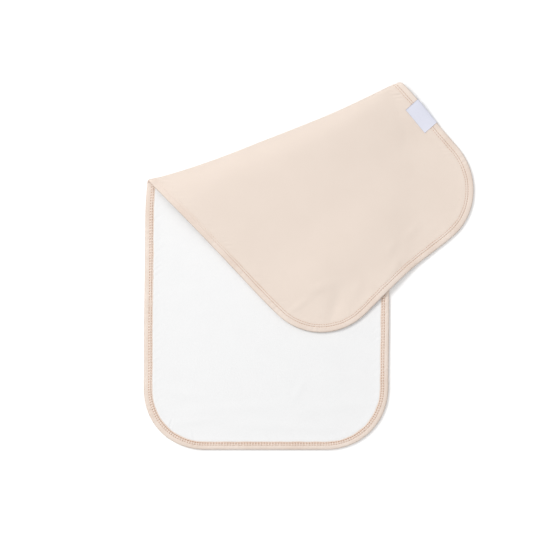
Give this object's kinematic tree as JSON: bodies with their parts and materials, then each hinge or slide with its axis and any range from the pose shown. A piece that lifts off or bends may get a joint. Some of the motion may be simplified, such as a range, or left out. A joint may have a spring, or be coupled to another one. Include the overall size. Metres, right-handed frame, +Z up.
{
  "type": "burp cloth",
  "caption": "Two-layer burp cloth with rounded corners and a knit binding all round, lying folded once on a slant so that its front shows over its white back.",
  "frame": {"origin": "on the surface that the cloth lies on, under the middle of its bounding box", "axes": "+Z up from the surface; +Y along the length of the lower layer, from its rounded end towards the fold; +X across the cloth, towards the side where the flap reaches past the lower layer"},
  "size_m": [0.3418, 0.3816, 0.0164],
  "materials": {
    "front_knit": "smooth matte single knit, pale peach",
    "back_cloth": "soft matte absorbent cloth, white",
    "binding_knit": "matte rib knit strip, peach",
    "label_tape": "smooth woven tape, pale lavender white, bare"
  },
  "bodies": {
    "root": {"front_panel": "front_knit", "back_panel": "back_cloth", "binding": "binding_knit", "label": "label_tape"}
  },
  "joints": []
}
